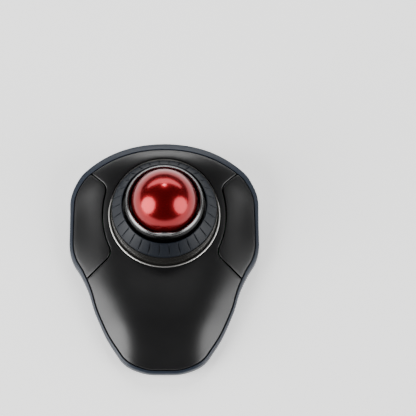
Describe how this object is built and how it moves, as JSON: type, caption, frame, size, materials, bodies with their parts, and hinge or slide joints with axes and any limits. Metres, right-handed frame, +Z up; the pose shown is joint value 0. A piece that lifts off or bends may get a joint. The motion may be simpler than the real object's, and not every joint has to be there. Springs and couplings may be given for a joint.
{
  "type": "trackball mouse",
  "caption": "Wireless trackball with a large ball in a bright collar, a grooved scroll ring round it, broad side buttons and a sculpted palm rest on a slate base.",
  "frame": {"origin": "centre of the footprint, on the surface the rubber feet stand on", "axes": "+Z up, +Y away from the user's wrist, +X to the user's right"},
  "size_m": [0.1148, 0.1435, 0.058],
  "materials": {
    "slate_plastic": "fine satin moulding",
    "black_plastic": "fine satin moulding, soft sheen",
    "ring_plastic": "satin, grooved",
    "dark_gloss": "smooth moulded",
    "collar_coat": "bright grey metallic coat",
    "bright_trim": "satin bright coat",
    "dark_plastic": "moulded",
    "ball_resin": "polished deep red",
    "bearing_ceramic": "polished white ceramic",
    "white_plastic": "natural acetal",
    "switch_case": "moulded",
    "steel": "plated",
    "lens": "clear",
    "chip_black": "moulded epoxy",
    "circuit_board": "green solder mask",
    "cell_wrap": "printed wrap, left plain",
    "rubber": "matt"
  },
  "bodies": {
    "housing": {"base_shell": "slate_plastic", "top_cover": "black_plastic", "right_hinge_pin": "steel", "left_hinge_pin": "steel", "right_microswitch": "switch_case", "left_microswitch": "switch_case", "ring_pedestal": "dark_gloss", "ring_retainer": "white_plastic", "trim_ring": "bright_trim", "ball_collar": "collar_coat", "ball_socket": "dark_plastic", "socket_bearings": "bearing_ceramic", "sensor_lens": "lens", "sensor_chip": "chip_black", "sensor_board": "circuit_board", "encoder_board": "circuit_board", "encoder_sensor": "chip_black", "pedestal_screws": "steel", "main_pcb": "circuit_board", "pcb_components": "chip_black", "mode_switch_body": "switch_case", "tact_switches": "switch_case", "rear_battery": "cell_wrap", "front_battery": "cell_wrap", "battery_springs": "steel", "contact_plates": "steel", "rubber_feet": "rubber", "case_screws": "steel"},
    "right_button_body": {"right_button": "black_plastic"},
    "left_button_body": {"left_button": "black_plastic"},
    "right_plunger_body": {"right_plunger": "white_plastic"},
    "left_plunger_body": {"left_plunger": "white_plastic"},
    "ring_body": {"scroll_ring": "ring_plastic"},
    "ball_body": {"ball": "ball_resin"},
    "mode_knob_body": {"mode_switch_knob": "dark_plastic"},
    "dpi_button_body": {"dpi_button": "dark_plastic"},
    "pair_button_body": {"pair_button": "dark_plastic"},
    "door_body": {"battery_door": "slate_plastic"},
    "receiver_body": {"receiver_cap": "dark_plastic", "receiver_plug": "steel"}
  },
  "joints": [
    {"name": "right_button_press", "type": "hinge", "parent": "housing", "child": "right_button_body", "pos_m": [0, 0.001, 0.009], "axis": [-1, 0, 0], "range_deg": [0, 1], "stiffness_Nm_per_rad": 0.4, "springref_deg": -1.72},
    {"name": "right_plunger_travel", "type": "slide", "parent": "housing", "child": "right_plunger_body", "axis": [0, 0, -1], "range_m": [0, 0.00065]},
    {"name": "left_button_press", "type": "hinge", "parent": "housing", "child": "left_button_body", "pos_m": [0, 0.001, 0.009], "axis": [-1, 0, 0], "range_deg": [0, 1], "stiffness_Nm_per_rad": 0.4, "springref_deg": -1.72},
    {"name": "left_plunger_travel", "type": "slide", "parent": "housing", "child": "left_plunger_body", "axis": [0, 0, -1], "range_m": [0, 0.00065]},
    {"name": "ball_roll", "type": "hinge", "parent": "housing", "child": "ball_body", "pos_m": [0, 0.028, 0.038], "axis": [1, 0, 0], "continuous": true},
    {"name": "scroll_ring_spin", "type": "hinge", "parent": "housing", "child": "ring_body", "pos_m": [0, 0.028, 0.03], "axis": [0, 0, 1], "continuous": true},
    {"name": "battery_door_swing", "type": "hinge", "parent": "housing", "child": "door_body", "pos_m": [0, -0.03895, 0.00135], "axis": [-1, 0, 0], "range_deg": [0, 100]},
    {"name": "receiver_slide", "type": "slide", "parent": "housing", "child": "receiver_body", "axis": [0, 0, -1], "range_m": [0, 0.012]},
    {"name": "mode_switch_slide", "type": "slide", "parent": "housing", "child": "mode_knob_body", "axis": [1, 0, 0], "range_m": [-0.0015, 0.0015]},
    {"name": "dpi_button_press", "type": "slide", "parent": "housing", "child": "dpi_button_body", "axis": [0, 0, 1], "range_m": [0, 0.0003], "stiffness_N_per_m": 600, "springref_m": -0.0005},
    {"name": "pair_button_press", "type": "slide", "parent": "housing", "child": "pair_button_body", "axis": [0, 0, 1], "range_m": [0, 0.0003], "stiffness_N_per_m": 600, "springref_m": -0.0005}
  ],
  "couplings": [
    {"joint": "right_plunger_travel", "follows": "right_button_press", "m_per_rad": 0.035},
    {"joint": "left_plunger_travel", "follows": "left_button_press", "m_per_rad": 0.035}
  ]
}
